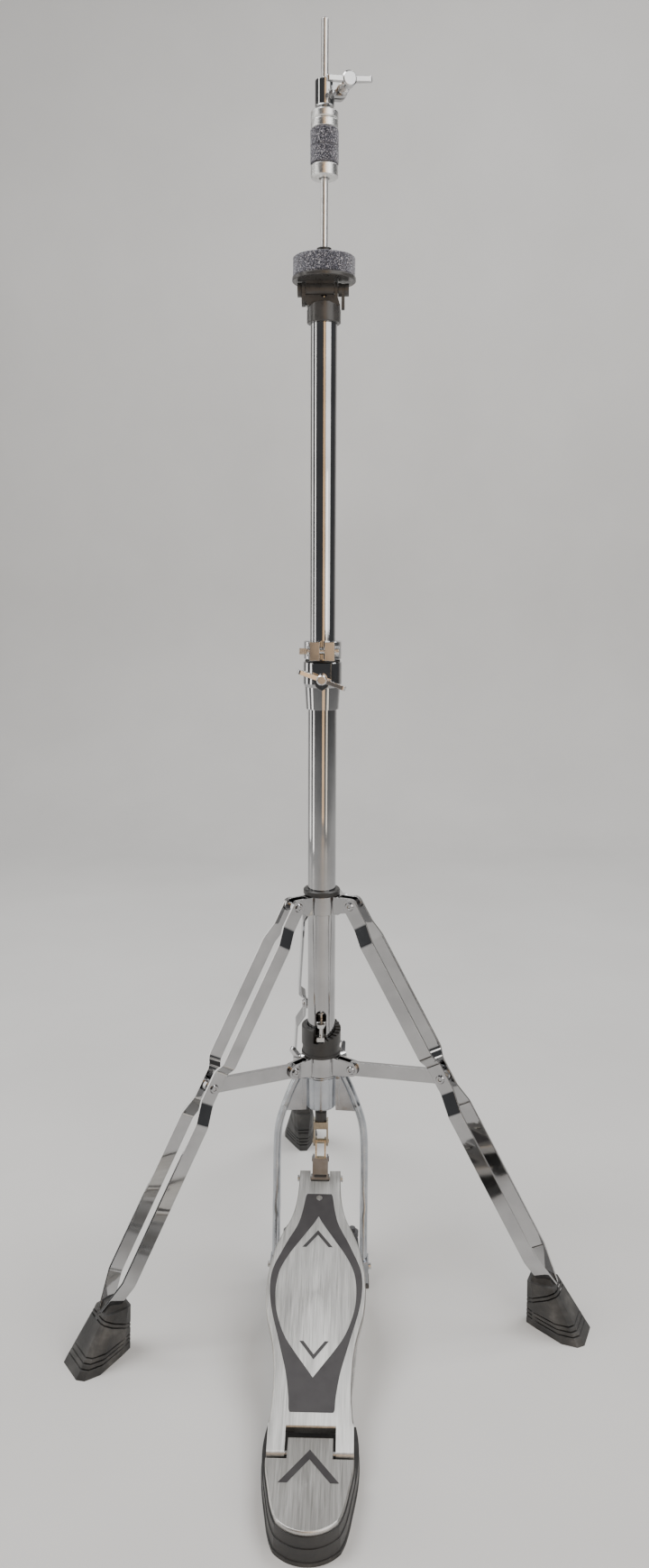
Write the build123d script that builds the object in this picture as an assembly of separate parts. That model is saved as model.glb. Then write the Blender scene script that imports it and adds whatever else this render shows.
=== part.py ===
from build123d import *
import math
import os

# Hi-hat stand: double-braced folding tripod, height-adjustable tube, pull rod with clutch, and pedal.
# The design frame has its Z axis on the tube axis, its floor at z = 0, and the pedal along -Y.
# At the end every part is moved so that the origin is the bottom centre of the whole object's box.

# ---------------------------------------------------------------- driving dimensions (mm, degrees)
SLIDE_GAP = 0.05            # radial running clearance of shafts and tubes
SIDE_GAP = 0.3              # clearance between faces that pass each other

LOWER_TUBE_OD, LOWER_TUBE_ID = 25.4, 23.0
UPPER_TUBE_OD, UPPER_TUBE_ID = 22.2, 19.6
ROD_OD = 6.0
ROD_TOP_Z = 1092.6

TRIPOD_TURN = 7.17
LEG_AZIMUTHS = {"rear": 90 + TRIPOD_TURN, "left": 210 + TRIPOD_TURN, "right": 330 + TRIPOD_TURN}
LEG_PIVOT_R, LEG_PIVOT_Z = 30.9, 367.8
STAY_PIVOT_R, STAY_PIVOT_Z = 32.3, 208.9
MID_PIVOT_R, MID_PIVOT_Z = 119.9, 218.6
RIVET_D, RIVET_HEAD_D, RIVET_HEAD_H = 5.0, 8.2, 1.8
WING_T = 3.8                    # thickness of every wing bolt's wings

STRIP_T, STRIP_W, STRIP_BEND_R = 2.0, 13.0, 8.0
LEG_STRIP_LENGTH = 398.0
# Half the centre spacing of a leg's two strips, at distances along the leg from its top pivot.
LEG_SPACING = [(-6.5, 7.1), (21, 7.1), (37, 12.5), (151, 12.5), (159, 5.6), (187, 5.6), (206, 13.0),
               (349, 13.0), (383, 1.1), (LEG_STRIP_LENGTH, 1.1)]

NECK_OD, NECK_LOW, NECK_HIGH = 28.3, 166.0, 197.0
ARM_X, ARM_W, ARM_DEPTH = 41.5, 7.4, 11.0
FRAME_FOOT_Y, FRAME_PAD_T = -36.0, 4.0
# The middle line of the frame's right arm, from the neck down past the floor.
ARM_PATH = [(21.5, 0, 196), (27, 0, 184), (34, 0, 165.5), (39.5, -1, 147), (ARM_X, -4.8, 123),
            (ARM_X, -15, 78), (ARM_X, -26, 42), (ARM_X, FRAME_FOOT_Y, 0), (ARM_X, -36.8, -4)]

SPIDER_LOW, SPIDER_HIGH = 199.3, 218.0
LEG_COLLAR_LOW, LEG_COLLAR_HIGH = 357.3, 374.3
COLLAR_WALL_OD = 30.4
CLAMP_AZIMUTH = LEG_AZIMUTHS["right"] + 60 - 360

TENSION_RING_OD, TENSION_RING_LOW = 36.7, 218.6
RAMP_LOW, RAMP_RISE, RAMP_STEPS, RAMP_STEP_ANGLE, RAMP_START = 234.5, 1.25, 11, 15.0, -112.0
TENSION_FLAT_Z = 247.5
WINDOW_W, WINDOW_LOW, WINDOW_HIGH = 10.0, 233.0, 265.0
SPRING_LOW, SPRING_HIGH, SPRING_OD, SPRING_WIRE, SPRING_TURNS = 254.0, 340.0, 16.0, 1.8, 12

HEIGHT_COLLAR_LOW, HEIGHT_COLLAR_MID, HEIGHT_COLLAR_HIGH = 544.5, 567.0, 586.0
HEIGHT_BOLT_Z = 572.5
UPPER_TUBE_LOW, UPPER_TUBE_HIGH = 440.0, 878.0
MEMORY_LOW, MEMORY_HIGH, MEMORY_OD = 588.2, 604.2, 33.0

TILTER_LOW, TILTER_HIGH, TILTER_OD, TILTER_ARCH_R = 865.2, 880.7, 28.2, 20.6
TILT_AXIS_Z = 891.5
BARREL_MIDDLE_X, BARREL_LENGTH, BARREL_R = -3.2, 23.4, 7.2
TILT_PIN_D = 5.0
CUP_LOW, CUP_HIGH, CUP_OD = 897.6, 900.8, 52.7
SEAT_FELT_OD, SEAT_FELT_HIGH = 51.3, 916.0
SEAT_SLEEVE_OD, SEAT_SLEEVE_ID, SEAT_SLEEVE_HIGH = 12.2, 10.6, 923.5

CLUTCH_SLEEVE_OD, CLUTCH_SLEEVE_LOW, CLUTCH_SLEEVE_HIGH = 9.0, 977.0, 1047.2
CLUTCH_BODY_OD, CLUTCH_BODY_LOW, CLUTCH_BODY_HIGH = 15.6, 1028.4, 1048.0
CLUTCH_NUT_OD, CLUTCH_FELT_OD = 22.4, 23.2
CLUTCH_EAR_AZIMUTH, CLUTCH_EAR_Z = 16.0, 1041.0
CLUTCH_BOLT_REACH = 20.4       # from the ears' middle to the underside of the wings

HEEL_PIN_Y, HEEL_PIN_Z, HEEL_PIN_D = -262.6, 22.0, 4.0
BOARD_ANGLE = 16.9
BOARD_HALF_T = 3.0
BOARD_LENGTH = 265.0
# Half widths of the footboard at distances from the heel pin.
BOARD_OUTLINE = [(18, 32.4), (45, 30.6), (70, 31.7), (92, 35.2), (112, 40.3), (130, 42.2), (150, 41.8),
                 (172, 38.3), (190, 32.8), (208, 25.3), (226, 21.1), (246, 19.6), (BOARD_LENGTH, 19.2)]
TOE_PIN_REACH = 258.5
CLEVIS_PIN_Z = 127.5
CHAIN_PIN_D = 4.0
CHAIN_SHARE = 0.475         # the share of the chain's length above the middle pin


# ---------------------------------------------------------------- general shapes
def turned(outer, inner, low, high, edge=0.4):
    """A turned ring or rod on the tube axis with chamfered outer edges."""
    ro, ri = outer / 2, inner / 2
    points = [(ri, low), (ro - edge, low), (ro, low + edge), (ro, high - edge), (ro - edge, high), (ri, high)]
    return revolve(Plane.XZ * make_face(Polyline(*points, close=True)), Axis.Z)


def bore(diameter, low, high, x=0, y=0):
    """A plain vertical cylinder, for holes and pins."""
    return Pos(x, y, (low + high) / 2) * Cylinder(diameter / 2, high - low)


def bar_between(start, end, diameter):
    """A round bar from one point to another."""
    start, end = Vector(*start), Vector(*end)
    along = end - start
    plane = Plane(origin=start, z_dir=along)
    return plane.location * Pos(0, 0, along.length / 2) * Cylinder(diameter / 2, along.length)


def cross_pin(y, z, diameter, half_length):
    """A cylinder along X."""
    return Pos(0, y, z) * Rot(0, 90, 0) * Cylinder(diameter / 2, 2 * half_length)


def link_plate(start, end, thickness):
    """A plate centred on its own XY plane, whose outline wraps two circles (x, y, radius)."""
    (x1, y1, r1), (x2, y2, r2) = start, end
    heading = math.atan2(y2 - y1, x2 - x1)
    spread = math.acos((r1 - r2) / math.hypot(x2 - x1, y2 - y1))

    def on_circle(x, y, radius, angle):
        return x + radius * math.cos(angle), y + radius * math.sin(angle)

    start_left = on_circle(x1, y1, r1, heading + spread)
    start_right = on_circle(x1, y1, r1, heading - spread)
    end_left = on_circle(x2, y2, r2, heading + spread)
    end_right = on_circle(x2, y2, r2, heading - spread)
    back = ThreePointArc(start_left, on_circle(x1, y1, r1, heading + math.pi), start_right)
    front = ThreePointArc(end_right, on_circle(x2, y2, r2, heading), end_left)
    outline = back + Line(start_right, end_right) + front + Line(end_left, start_left)
    return extrude(make_face(outline), thickness / 2, both=True)


def turn_about(azimuth):
    return Rot(0, 0, azimuth)


def wing_bolt(span, hub_d, hub_h, shank_d, shank_length, rise):
    """A wing bolt on its own Z axis: shank below z = 0, hub above it, wings along X."""
    hub = turned(hub_d, 0, 0, hub_h, 1.0)
    shank = Pos(0, 0, -shank_length / 2) * Cylinder(shank_d / 2, shank_length)
    tip_r = hub_h * 0.3
    bolt = hub + shank
    for side in (-1, 1):
        root = (side * hub_d * 0.2, hub_h * 0.5, hub_h * 0.38)
        tip = (side * (span / 2 - tip_r), hub_h * 0.5 + rise, tip_r)
        bolt += Plane.XZ.location * link_plate(root, tip, WING_T)
    return bolt


def placed(shape, origin, axis, across):
    """The shape with its Z axis along axis and its X axis along across."""
    return Plane(origin=origin, x_dir=across, z_dir=axis).location * shape


# ---------------------------------------------------------------- tubes and the pull rod
def lower_tube():
    tube = turned(LOWER_TUBE_OD, LOWER_TUBE_ID, NECK_LOW + 4, HEIGHT_BOLT_Z - 8, 0.2)
    window_r = WINDOW_W / 2
    outline = SlotCenterToCenter(WINDOW_HIGH - WINDOW_LOW - WINDOW_W, WINDOW_W)
    middle = (WINDOW_HIGH + WINDOW_LOW) / 2
    slot = extrude(Plane.XZ * Pos(0, middle) * Rot(0, 0, 90) * outline, LOWER_TUBE_OD / 2 + window_r)
    return tube - slot


def upper_tube():
    return turned(UPPER_TUBE_OD, UPPER_TUBE_ID, UPPER_TUBE_LOW, UPPER_TUBE_HIGH, 0.3)


def lower_rod():
    """The rod that the spring pushes up, with the collar that the spring bears on."""
    rod = bore(ROD_OD, CLEVIS_PIN_Z + 16, 545)
    return rod + turned(SPRING_OD + 2, 0, SPRING_HIGH + SIDE_GAP, SPRING_HIGH + 7)


def rod_coupling():
    return turned(10.5, ROD_OD, 530, 560)


def upper_rod():
    return turned(ROD_OD, 0, 545, ROD_TOP_Z, 0.8)


def rod_end():
    return turned(11.2, ROD_OD, 149.5, 159.5, 1.0)


def return_spring():
    turns_height = SPRING_HIGH - SPRING_LOW - SPRING_WIRE
    radius = (SPRING_OD - SPRING_WIRE) / 2
    path = Helix(turns_height / SPRING_TURNS, turns_height, radius)
    start = Plane(origin=path @ 0, z_dir=path % 0)
    coil = sweep(start * Circle(SPRING_WIRE / 2), path=path)
    return Pos(0, 0, SPRING_LOW + SPRING_WIRE / 2) * coil


def spring_seat():
    """The spool that carries the spring, and its tab that comes out of the window onto the cam."""
    spool_od = LOWER_TUBE_ID - 2 * SIDE_GAP
    spool = turned(spool_od, 0, 249, SPRING_LOW - 0.5) + turned(13, 0, 241, 249.2, 0.2)
    spool += turned(spool_od, 0, 237.2, 241.2)
    tab = Pos(0, -(TENSION_RING_OD / 2 + 3) / 2 - 1, 239.8) * Box(7, TENSION_RING_OD / 2 - 1, 4)
    stem = Pos(0, -14.6, 245) * Cylinder(1.8, 9)
    head = Pos(0, -14.0, 251.3) * Cylinder(3.6, 3.4)
    neck = Pos(0, -9, 251.3) * Box(5, 10, 3)
    return spool + tab + stem + head + neck - bore(ROD_OD + 1, 230, 260)


def tension_ring():
    """The spring tension cam: a knurled ring whose top is a stepped ramp."""
    inner = LOWER_TUBE_OD + 4 * SIDE_GAP
    ring = turned(TENSION_RING_OD, inner, TENSION_RING_LOW, TENSION_FLAT_Z, 0.8)
    cut_r = TENSION_RING_OD
    for step in range(RAMP_STEPS):
        top = RAMP_LOW + RAMP_RISE * step
        start = math.radians(RAMP_START + RAMP_STEP_ANGLE * step)
        end = start + math.radians(RAMP_STEP_ANGLE)
        corners = [(0, 0)] + [(cut_r * math.cos(angle), cut_r * math.sin(angle)) for angle in (start, end)]
        wedge = make_face(Polyline(*corners, close=True))
        ring -= Pos(0, 0, top) * extrude(wedge, TENSION_FLAT_Z - top + 1)
    waist_low, waist_high = TENSION_RING_LOW + 3, TENSION_RING_LOW + 11
    waist = turned(TENSION_RING_OD + 2, TENSION_RING_OD - 1.6, waist_low, waist_high, 0.01)
    return ring - waist


# ---------------------------------------------------------------- height collar and memory lock
def height_collar():
    lower = revolve(Plane.XZ * make_face(Polyline(
        (LOWER_TUBE_OD / 2, HEIGHT_COLLAR_LOW), (14.4, HEIGHT_COLLAR_LOW), (15.6, HEIGHT_COLLAR_MID - 3),
        (16.9, HEIGHT_COLLAR_MID), (16.9, HEIGHT_COLLAR_HIGH - 0.5), (16.4, HEIGHT_COLLAR_HIGH),
        (13.2, HEIGHT_COLLAR_HIGH), (13.2, HEIGHT_BOLT_Z - 7), (LOWER_TUBE_OD / 2, HEIGHT_BOLT_Z - 7),
        close=True)), Axis.Z)
    half = [(8, HEIGHT_COLLAR_HIGH), (8, 571), (5, 565.5), (0, 562)]
    boss_outline = Polyline(*half, *[(-x, z) for x, z in reversed(half[:3])], close=True)
    boss = Pos(0, -10.5, 0) * extrude(Plane.XZ * make_face(boss_outline), 12)
    boss -= bore(30, 550, 600)
    hole = Pos(0, -16, HEIGHT_BOLT_Z) * Rot(90, 0, 0) * Cylinder(3.1, 20)
    return lower + boss - hole


def collar_bushing():
    inner = UPPER_TUBE_OD + 2 * SLIDE_GAP
    sleeve = turned(26.4, inner, HEIGHT_BOLT_Z - 6.8, HEIGHT_COLLAR_HIGH, 0.2)
    rim = turned(31.0, inner, HEIGHT_COLLAR_HIGH, HEIGHT_COLLAR_HIGH + 1.6)
    hole = Pos(0, -12, HEIGHT_BOLT_Z) * Rot(90, 0, 0) * Cylinder(3.4, 8)
    return sleeve + rim - hole


def height_wing_bolt():
    origin = (0, -23.2, HEIGHT_BOLT_Z)
    tilt = math.radians(-20)
    across = (math.cos(tilt), 0, math.sin(tilt))
    return placed(wing_bolt(44, 9.0, 9, 6.0, 11.2, 2.0), origin, (0, -1, 0), across)


def memory_lock():
    inner = UPPER_TUBE_OD + 2 * SLIDE_GAP
    ring = turned(MEMORY_OD, inner, MEMORY_LOW, MEMORY_HIGH, 0.8)
    height = MEMORY_HIGH - MEMORY_LOW
    middle = (MEMORY_HIGH + MEMORY_LOW) / 2
    ears = Pos(0, -17.5, middle) * Box(21.5, 9, height)
    ears -= bore(UPPER_TUBE_OD + 4, MEMORY_LOW - 1, MEMORY_HIGH + 1)
    slot = Pos(0, -16, middle) * Box(4.2, 16, height + 2)
    hole = cross_pin(-18, middle, 5.2, 20)
    return ring + ears - slot - hole


def memory_lock_bolt():
    middle = (MEMORY_HIGH + MEMORY_LOW) / 2
    shank = Pos(-1, -18, middle) * Rot(0, 90, 0) * Cylinder(2.55, 27)
    collar = Pos(-12.0, -18, middle) * Rot(0, 90, 0) * Cylinder(4.6, 1.8)
    square = Pos(-16.2, -18, middle) * Box(6.6, 5.2, 5.2)
    nut = Pos(12.9, -18, middle) * Rot(0, 90, 0) * Cylinder(4.6, 3.6)
    return shank + collar + square + nut


# ---------------------------------------------------------------- tripod
def tripod_collar(low, high, inner, pivot_r, pivot_z, plate_offset, clamp_azimuths):
    """A stamped ring with a pair of lug plates for each leg, and a boss for each clamp bolt."""
    body = turned(COLLAR_WALL_OD, inner, low, high, 0.3)
    middle = (low + high) / 2
    for azimuth in LEG_AZIMUTHS.values():
        for side in (-1, 1):
            lug = link_plate((11, 0, (high - low) / 2 - 0.2), (pivot_r, pivot_z - middle, 6.4), STRIP_T)
            lug = Pos(0, side * plate_offset, middle) * Rot(90, 0, 0) * lug
            body += turn_about(azimuth) * lug
        web_w = 2 * plate_offset
        for z in (low + 1, high - 1):
            body += turn_about(azimuth) * Pos((COLLAR_WALL_OD + 5) / 2 - 3, 0, z) * Box(8, web_w, STRIP_T)
    for azimuth in clamp_azimuths:
        body += turn_about(azimuth) * Pos(15.5, 0, middle) * Rot(0, 90, 0) * Cylinder(5.5, 8)
    body -= bore(inner, low - 5, high + 5)
    for azimuth in LEG_AZIMUTHS.values():
        body -= turn_about(azimuth) * Pos(pivot_r, 0, pivot_z) * Rot(90, 0, 0) * Cylinder(
            RIVET_D / 2 + SLIDE_GAP, 30)
    for azimuth in clamp_azimuths:
        body -= turn_about(azimuth) * Pos(16, 0, middle) * Rot(0, 90, 0) * Cylinder(2.6, 14)
    return body


SPIDER_CLAMPS = (CLAMP_AZIMUTH, CLAMP_AZIMUTH + 120)
LEG_COLLAR_CLAMPS = (CLAMP_AZIMUTH,)
SPIDER_PLATE_OFFSET = 3.95
LEG_LUG_OFFSET = LEG_SPACING[0][1] - STRIP_T - SIDE_GAP


def spider():
    return tripod_collar(SPIDER_LOW, SPIDER_HIGH, LOWER_TUBE_OD + 2 * SLIDE_GAP, STAY_PIVOT_R, STAY_PIVOT_Z,
                         SPIDER_PLATE_OFFSET, SPIDER_CLAMPS)


def leg_collar():
    return tripod_collar(LEG_COLLAR_LOW, LEG_COLLAR_HIGH, LOWER_TUBE_OD + 2 * SLIDE_GAP, LEG_PIVOT_R,
                         LEG_PIVOT_Z, LEG_LUG_OFFSET, LEG_COLLAR_CLAMPS)


def leg_collar_ring():
    """The plastic ring that lines the leg collar's top."""
    inner = LOWER_TUBE_OD + 2 * SLIDE_GAP
    return turned(33.5, inner, LEG_COLLAR_HIGH, LEG_COLLAR_HIGH + 5.5, 1.0)


def radial_wing_bolt(azimuth, z, span, lift):
    """A wing bolt that points out from the tube axis; its wings lean up by lift degrees."""
    out = (math.cos(math.radians(azimuth)), math.sin(math.radians(azimuth)), 0)
    lean = math.radians(lift)
    across = (-out[1] * math.cos(lean), out[0] * math.cos(lean), math.sin(lean))
    origin = (20.2 * out[0], 20.2 * out[1], z)
    return placed(wing_bolt(span, 8.4, 8, 5.0, 6.6, 3.0), origin, out, across)


def leg_direction():
    along = Vector(MID_PIVOT_R - LEG_PIVOT_R, 0, MID_PIVOT_Z - LEG_PIVOT_Z)
    return along.normalized()


def leg_strip(side):
    """One of a leg's two bent strips, in the plane of a leg that points along +X."""
    along = leg_direction()
    sideways = Vector(0, 1, 0)
    origin = Vector(LEG_PIVOT_R, 0, LEG_PIVOT_Z)
    edge_plane = Plane(origin=origin, x_dir=along, z_dir=along.cross(sideways))
    outer = [(distance, side * (half + STRIP_T / 2)) for distance, half in LEG_SPACING]
    inner = [(distance, side * (half - STRIP_T / 2)) for distance, half in LEG_SPACING]
    outer_edge = FilletPolyline(*outer, radius=STRIP_BEND_R)
    inner_edge = FilletPolyline(*inner, radius=STRIP_BEND_R)
    edges = outer_edge + inner_edge + Line(outer[0], inner[0]) + Line(outer[-1], inner[-1])
    strip = extrude(edge_plane * make_face(edges), STRIP_W / 2, both=True)
    face_plane = Plane(origin=origin, x_dir=along, z_dir=sideways)
    outline = Pos(LEG_STRIP_LENGTH / 2, 0) * SlotOverall(LEG_STRIP_LENGTH + STRIP_W, STRIP_W)
    strip &= extrude(face_plane * outline, 30, both=True)
    mid_distance = math.hypot(MID_PIVOT_R - LEG_PIVOT_R, MID_PIVOT_Z - LEG_PIVOT_Z)
    for distance in (0, mid_distance):
        hole = extrude(face_plane * Pos(distance, 0) * Circle(RIVET_D / 2), 30, both=True)
        strip -= hole
    return strip


def leg_strips(azimuth):
    return turn_about(azimuth) * Compound(children=[leg_strip(-1), leg_strip(1)])


def rivet_head(x, y_face, z, side):
    """A domed rivet head with a dimple, on the face at y_face."""
    profile = [(0, 0), (RIVET_HEAD_D / 2, 0), (RIVET_HEAD_D / 2, 0.5), (RIVET_HEAD_D / 2 - 0.9, RIVET_HEAD_H),
               (1.7, RIVET_HEAD_H), (1.2, 0.9), (0, 0.9)]
    head = revolve(Plane.XZ * make_face(Polyline(*profile, close=True)), Axis.Z)
    return Plane(origin=(x, y_face, z), x_dir=(1, 0, 0), z_dir=(0, side, 0)).location * head


def leg_rivets(azimuth):
    """The top rivet goes right through; the middle ones have short shanks in each strip."""
    top_face = LEG_SPACING[0][1] + STRIP_T / 2
    top = Pos(LEG_PIVOT_R, 0, LEG_PIVOT_Z) * Rot(90, 0, 0) * Cylinder(RIVET_D / 2, 2 * top_face)
    middle_face = 5.6 + STRIP_T / 2
    solids = []
    for side in (-1, 1):
        top += rivet_head(LEG_PIVOT_R, side * top_face, LEG_PIVOT_Z, side)
        shank_y = side * (middle_face - STRIP_T / 2)
        shank = Pos(MID_PIVOT_R, shank_y, MID_PIVOT_Z) * Rot(90, 0, 0) * Cylinder(RIVET_D / 2, STRIP_T)
        solids.append(shank + rivet_head(MID_PIVOT_R, side * middle_face, MID_PIVOT_Z, side))
    solids.append(top)
    return turn_about(azimuth) * Compound(children=solids)


def leg_foot(azimuth):
    """A faceted rubber foot around the lower end of the strips, with grooves."""
    base_side = [(206, 4), (216, 9), (241, 19.5), (255, 18.5), (260, 13)]
    top_side = [(206, 8), (210, 11), (222, 12), (229, 11), (231, 8)]
    rings = []
    for points, z in ((base_side, 0), (top_side, 45)):
        outline = points + [(x, -y) for x, y in reversed(points)]
        rings.append(Pos(0, 0, z) * make_face(Polyline(*outline, close=True)))
    foot = loft(rings, ruled=True)
    foot += loft([Pos(219, 0, 45) * Rectangle(20, 17), Pos(218, 0, 50) * Rectangle(15, 13)], ruled=True)
    core = loft([Pos(234, 0, -1) * Rectangle(42, 18), Pos(218, 0, 46) * Rectangle(20, 18)], ruled=True)
    for z in (7.5, 11.5, 15.5):
        foot -= Pos(230, 0, z) * Box(80, 60, 1.3) - core
    lean = math.degrees(math.atan2(leg_direction().X, -leg_direction().Z))
    for rise in (33, 37):
        groove = Pos(224, 0, rise) * Rot(0, -lean, 0) * Box(60, 60, 1.3)
        foot -= groove - core
    foot -= leg_strip(-1)
    foot -= leg_strip(1)
    return turn_about(azimuth) * foot


def stay(azimuth):
    """The flat bar from the spider to the middle of a leg, with a boss at each end."""
    length = math.hypot(MID_PIVOT_R - STAY_PIVOT_R, MID_PIVOT_Z - STAY_PIVOT_Z)
    bar = link_plate((0, 0, 6.6), (length, 0, 6.6), 4.0)
    bar += Cylinder(6.0, 2 * (SPIDER_PLATE_OFFSET - STRIP_T / 2 - SIDE_GAP))
    bar += Pos(length, 0, 0) * Cylinder(5.6, 2 * (5.6 - STRIP_T / 2 - SIDE_GAP))
    bar -= Cylinder(RIVET_D / 2 + SLIDE_GAP, 20)
    bar -= Pos(length, 0, 0) * Cylinder(2.0, 20)
    angle = math.degrees(math.atan2(MID_PIVOT_Z - STAY_PIVOT_Z, MID_PIVOT_R - STAY_PIVOT_R))
    return turn_about(azimuth) * Pos(STAY_PIVOT_R, 0, STAY_PIVOT_Z) * Rot(90, 0, 0) * Rot(0, 0, angle) * bar


def spider_rivets():
    solids = []
    face = SPIDER_PLATE_OFFSET + STRIP_T / 2
    for azimuth in LEG_AZIMUTHS.values():
        rivet = Pos(STAY_PIVOT_R, 0, STAY_PIVOT_Z) * Rot(90, 0, 0) * Cylinder(RIVET_D / 2, 2 * face)
        for side in (-1, 1):
            rivet += rivet_head(STAY_PIVOT_R, side * face, STAY_PIVOT_Z, side)
        solids.append(turn_about(azimuth) * rivet)
    return Compound(children=solids)


# ---------------------------------------------------------------- pedal frame
def pedal_frame():
    """The cast frame: a neck around the tube, webs, and two arms that curve down to the floor."""
    path = Spline(*ARM_PATH)
    section = Plane(origin=path @ 0, x_dir=(0, 1, 0), z_dir=path % 0) * Ellipse(ARM_DEPTH / 2, ARM_W / 2)
    arm = sweep(section, path=path)
    web_points = [(12, NECK_HIGH - 2), (24, NECK_HIGH - 2), (31, 181), (37.5, 155), (34, 160), (14, 161)]
    web = extrude(Plane.XZ * make_face(Polyline(*web_points, close=True)), 2.4, both=True)
    rib = Pos(15.5, 0, (NECK_LOW + NECK_HIGH) / 2 - 1) * Box(4, 9, NECK_HIGH - NECK_LOW - 4)
    right = arm + web + rib
    foot_block = Pos(ARM_X, FRAME_FOOT_Y + 3, 15) * Box(ARM_W + 2.2, 15, 22)
    right += foot_block
    casting = right + mirror(right, about=Plane.YZ)
    casting += turned(NECK_OD, LOWER_TUBE_OD, NECK_LOW, NECK_HIGH, 0.8)
    casting -= bore(LOWER_TUBE_OD, NECK_LOW + 4, NECK_HIGH + 1)
    casting += turned(NECK_OD - 1, ROD_OD + 4, NECK_LOW - 1, NECK_LOW + 4, 0.8)
    for side_sign in (-1, 1):
        start, end = radius_rod_ends(side_sign)
        casting -= bar_between(start, end, RADIUS_ROD_D)
        casting -= Pos(side_sign * (ARM_X + 3), FRAME_FOOT_Y + 3, 18) * Rot(0, 90, 0) * Cylinder(1.6, 8)
    casting -= Pos(0, 0, FRAME_PAD_T - 10) * Box(200, 200, 20)
    return casting - Pos(0, 0, NECK_HIGH + 5) * Box(200, 200, 10)


RADIUS_ROD_D = 4.8
RADIUS_ROD_END_Y = -252.0


def radius_rod_ends(side):
    return (side * (ARM_X - 1), FRAME_FOOT_Y, 8.5), (side * 24, RADIUS_ROD_END_Y, 8.5)


def radius_rods():
    return Compound(children=[bar_between(*radius_rod_ends(side), RADIUS_ROD_D) for side in (-1, 1)])


def frame_feet():
    """Rubber pads under the two arms."""
    pads = [Pos(side * ARM_X, FRAME_FOOT_Y + 3, 2) * Box(ARM_W + 3.6, 17, 4) for side in (-1, 1)]
    return Compound(children=pads)


def frame_screws():
    solids = []
    for side in (-1, 1):
        shank = Pos(side * (ARM_X + 3), FRAME_FOOT_Y + 3, 18) * Rot(0, 90, 0) * Cylinder(1.6, 5)
        head = Pos(side * (ARM_X + 6.2), FRAME_FOOT_Y + 3, 18) * Rot(0, 90, 0) * Cylinder(2.8, 2.4)
        solids.append(shank + head)
    return Compound(children=solids)


SPUR_X, SPUR_Y = 31.0, 16.0


def spur_brackets():
    """Steel strips from the arms' feet that hold the spurs."""
    solids = []
    for side in (-1, 1):
        strip = link_plate((side * (ARM_X - 5.2), FRAME_FOOT_Y + 6, 3.0), (side * SPUR_X, SPUR_Y, 6.0), 3.0)
        strip = Pos(0, 0, 12) * strip
        strip -= Pos(side * ARM_X, FRAME_FOOT_Y + 3, 15) * Box(ARM_W + 2.2, 15, 22)
        solids.append(strip - bore(5.1, 0, 30, side * SPUR_X, SPUR_Y))
    return Compound(children=solids)


def spur(side):
    """A pointed spur screw with a knurled knob, screwed down until its point is just off the floor."""
    profile = [(0, 1.5), (2.5, 6), (2.5, 17), (6.2, 17), (6.2, 22), (3.0, 22), (3.0, 26), (0, 26)]
    screw = revolve(Plane.XZ * make_face(Polyline(*profile, close=True)), Axis.Z)
    return Pos(side * SPUR_X, SPUR_Y, 0) * screw


# ---------------------------------------------------------------- heel and footboard
HEEL_TOP_Z, HEEL_STEP_Z, HEEL_BASE_LOW = 26.0, 13.5, 3.0
HEEL_PLATE_T = 3.6
HEEL_BASE_FRONT = -226.0
TONGUE_HALF, PRONG_IN = 17.0, 19.0
PRONG_OUT = 32.4
HEEL_HALF, HEEL_SHOULDER_Y, HEEL_END_Y = 32.6, -270.3, -333.0


# Half widths of the heel plate's rounded end at places along Y.
HEEL_END_OUTLINE = [(31.9, -281.0), (29.4, -294.7), (25.6, -313.0), (21.5, -323.5)]


def heel_outline(grow, front_y):
    """Half-rounded outline of the heel parts, as a face."""
    side = [(HEEL_HALF + grow, front_y)]
    side += [(half + grow, y - grow * 0.5) for half, y in HEEL_END_OUTLINE]
    right = Spline(*side)
    left = Spline(*[(-x, y) for x, y in side])
    back = ThreePointArc(right @ 1, (0, HEEL_END_Y - grow), left @ 1)
    return make_face(right + left + back + Line(right @ 0, left @ 0))


def heel_rubber():
    return extrude(heel_outline(2.2, HEEL_BASE_FRONT - 1), HEEL_BASE_LOW)


def heel_tongue():
    """The block in front of the heel plate that holds the middle of the hinge pin."""
    end_y = HEEL_PIN_Y + 11.0
    length = end_y - HEEL_SHOULDER_Y + 2
    height = HEEL_TOP_Z - HEEL_STEP_Z
    return Pos(0, end_y - length / 2, HEEL_STEP_Z + height / 2) * Box(2 * TONGUE_HALF, length, height)


def heel_base():
    """The dark base: low under the footboard's end, and up to the plate behind it."""
    plate_low = HEEL_TOP_Z - HEEL_PLATE_T
    base = Pos(0, 0, HEEL_BASE_LOW) * extrude(heel_outline(1.6, HEEL_BASE_FRONT), HEEL_STEP_Z - HEEL_BASE_LOW)
    base += Pos(0, 0, HEEL_STEP_Z) * extrude(heel_outline(1.0, HEEL_SHOULDER_Y), plate_low - HEEL_STEP_Z)
    base -= heel_tongue()
    for side in (-1, 1):
        base -= bar_between(*radius_rod_ends(side), RADIUS_ROD_D)
    return base


def heel_plate():
    """The heel plate with its tongue."""
    plate = extrude(heel_outline(0, HEEL_SHOULDER_Y), HEEL_PLATE_T)
    plate = chamfer(plate.faces().sort_by(Axis.Z)[-1].edges(), 0.8)
    plate = Pos(0, 0, HEEL_TOP_Z - HEEL_PLATE_T) * plate
    return plate + heel_tongue() - cross_pin(HEEL_PIN_Y, HEEL_PIN_Z, HEEL_PIN_D, 40)


def heel_hinge_pin():
    return cross_pin(HEEL_PIN_Y, HEEL_PIN_Z, HEEL_PIN_D, 32)


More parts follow.
